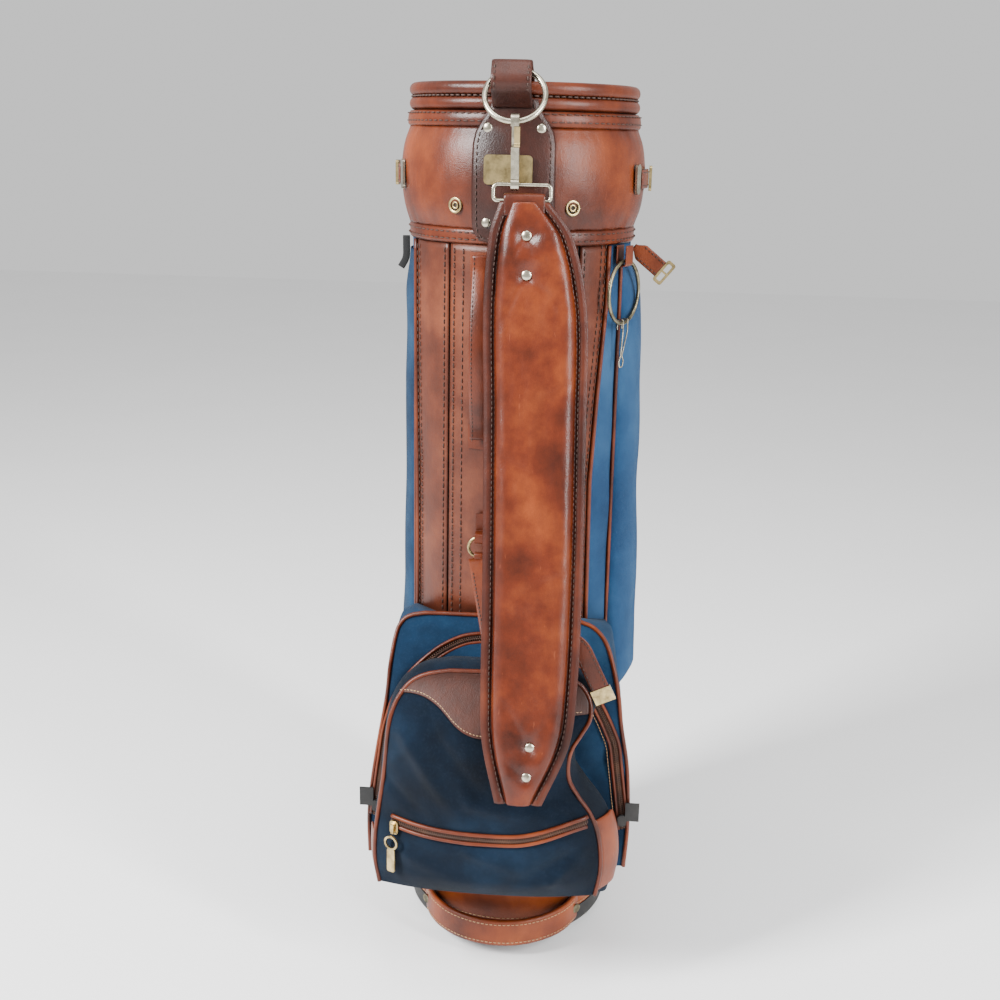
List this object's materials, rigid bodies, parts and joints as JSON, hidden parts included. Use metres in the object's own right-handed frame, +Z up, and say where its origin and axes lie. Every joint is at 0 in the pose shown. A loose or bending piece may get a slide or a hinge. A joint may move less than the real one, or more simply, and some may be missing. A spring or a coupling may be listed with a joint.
{
  "type": "golf bag",
  "caption": "Stand-up golf bag with a padded leather cuff, canvas trunk, stacked front pockets and a padded shoulder strap clipped to a rim ring.",
  "frame": {"origin": "centre of the base's underside, on the floor", "axes": "+Z up along the trunk, -Y towards the pockets and shoulder strap, +X to the right seen from the front"},
  "size_m": [0.2969, 0.3741, 0.9074],
  "materials": {
    "saddle_leather": "semi-gloss",
    "dark_leather": "semi-gloss",
    "tan_leather": "satin",
    "navy_canvas": "woven matte",
    "brass": "aged satin",
    "zip_tape": "woven",
    "black_plastic": "moulded matte",
    "liner": "matte",
    "black_webbing": "webbing"
  },
  "bodies": {
    "bag": {"base_pan": "black_plastic", "base_feet": "black_plastic", "base_band": "tan_leather", "base_handle": "tan_leather", "base_handle_rivets": "brass", "body_tube": "liner", "canvas_body": "navy_canvas", "front_panel": "saddle_leather", "side_strips": "saddle_leather", "body_piping": "saddle_leather", "cuff_body": "saddle_leather", "cuff_band": "saddle_leather", "rim_beads": "saddle_leather", "cuff_hem": "saddle_leather", "cuff_lining": "liner", "cuff_tab": "dark_leather", "tab_loop": "dark_leather", "tab_rivets": "brass", "emblem_plate": "brass", "hood_studs": "brass", "slot_frames": "brass", "cuff_straps": "saddle_leather", "cuff_buckles": "brass", "anchor_ring": "brass", "strap_anchors": "saddle_leather", "upper_pocket": "navy_canvas", "pocket_piping": "tan_leather", "upper_zip": "zip_tape", "ball_pocket": "navy_canvas", "ball_yoke": "tan_leather", "ball_zip": "zip_tape", "pocket_gussets": "tan_leather", "garment_pocket_left": "navy_canvas", "garment_pocket_right": "navy_canvas", "garment_zips": "zip_tape", "towel_loop": "saddle_leather", "glove_strap": "black_webbing", "club_divider": "black_plastic"},
    "ring": {"strap_ring": "brass"},
    "hook": {"snap_hook": "brass"},
    "gate": {"snap_gate": "brass"},
    "pad": {"hook_loop": "brass", "pad_backing": "dark_leather", "pad_core": "saddle_leather", "pad_rivets": "brass", "pad_buckle": "brass", "strap_tail": "saddle_leather", "tail_tip": "brass"},
    "lower_strap": {"lower_strap": "saddle_leather"},
    "handle": {"carry_handle": "saddle_leather"},
    "towel_ring": {"towel_ring": "brass"},
    "wire_clip": {"wire_clip": "brass"},
    "umbrella_strap": {"umbrella_strap": "saddle_leather", "umbrella_buckle": "brass"},
    "ball_slider": {"ball_slider": "brass"},
    "ball_puller": {"ball_puller": "brass"},
    "upper_slider_left": {"upper_slider_left": "brass"},
    "upper_slider_right": {"upper_slider_right": "brass"},
    "garment_slider_left": {"garment_slider_left": "brass"},
    "garment_slider_right": {"garment_slider_right": "brass"}
  },
  "joints": [
    {"name": "ring_swing", "type": "hinge", "parent": "bag", "child": "ring", "pos_m": [0.002, -0.12518, 0.89847], "axis": [-1, 0, 0], "range_deg": [0, 6]},
    {"name": "hook_swing", "type": "hinge", "parent": "ring", "child": "hook", "pos_m": [0.004, -0.15482, 0.85453], "axis": [-1, 0, 0], "range_deg": [-7.9, 0]},
    {"name": "gate_press", "type": "hinge", "parent": "hook", "child": "gate", "pos_m": [0.004, -0.15694, 0.83492], "axis": [-1, 0, 0], "range_deg": [0, 20], "stiffness_Nm_per_rad": 0.05, "springref_deg": -5.73},
    {"name": "pad_swing", "type": "hinge", "parent": "hook", "child": "pad", "pos_m": [0.0105, -0.146, 0.80126], "axis": [-1, 0, 0], "range_deg": [0, 1.9]},
    {"name": "lower_strap_swing", "type": "hinge", "parent": "bag", "child": "lower_strap", "pos_m": [-0.02642, -0.1187, 0.444], "axis": [-1, 0, 0], "range_deg": [0, 2.4]},
    {"name": "handle_swing", "type": "hinge", "parent": "bag", "child": "handle", "pos_m": [-0.028, -0.1164, 0.649], "axis": [0, 0, 1], "range_deg": [-15, 15]},
    {"name": "towel_ring_swing", "type": "hinge", "parent": "bag", "child": "towel_ring", "pos_m": [0.10436, -0.05549, 0.7294], "axis": [-0.4695, -0.8829, 0], "range_deg": [0, 60]},
    {"name": "wire_clip_swing", "type": "hinge", "parent": "towel_ring", "child": "wire_clip", "pos_m": [0.10436, -0.05549, 0.6694], "axis": [-0.4695, -0.8829, 0], "range_deg": [-3, 30]},
    {"name": "umbrella_strap_bend", "type": "hinge", "parent": "bag", "child": "umbrella_strap", "pos_m": [0.1125, -0.02, 0.7405], "axis": [0, -1, 0], "range_deg": [-6, 25]},
    {"name": "ball_slider_travel", "type": "hinge", "parent": "bag", "child": "ball_slider", "pos_m": [0, 0.01408, 0.194], "axis": [0, 0, 1], "range_deg": [0, 46]},
    {"name": "ball_puller_swing", "type": "hinge", "parent": "ball_slider", "child": "ball_puller", "pos_m": [-0.09764, -0.21594, 0.1875], "axis": [-0.9205, 0.3907, 0], "range_deg": [0, 100]},
    {"name": "upper_slider_left_travel", "type": "slide", "parent": "bag", "child": "upper_slider_left", "axis": [0.1291, 0, 0.9916], "range_m": [0, 0.07]},
    {"name": "upper_slider_right_travel", "type": "slide", "parent": "bag", "child": "upper_slider_right", "axis": [-0.1291, 0, 0.9916], "range_m": [0, 0.07]},
    {"name": "garment_slider_left_travel", "type": "slide", "parent": "bag", "child": "garment_slider_left", "axis": [0, 0, -1], "range_m": [0, 0.35]},
    {"name": "garment_slider_right_travel", "type": "slide", "parent": "bag", "child": "garment_slider_right", "axis": [0, 0, -1], "range_m": [0, 0.35]}
  ],
  "couplings": [
    {"joint": "hook_swing", "follows": "ring_swing", "ratio": -1.312},
    {"joint": "pad_swing", "follows": "ring_swing", "ratio": 0.314},
    {"joint": "lower_strap_swing", "follows": "ring_swing", "ratio": 0.395}
  ]
}
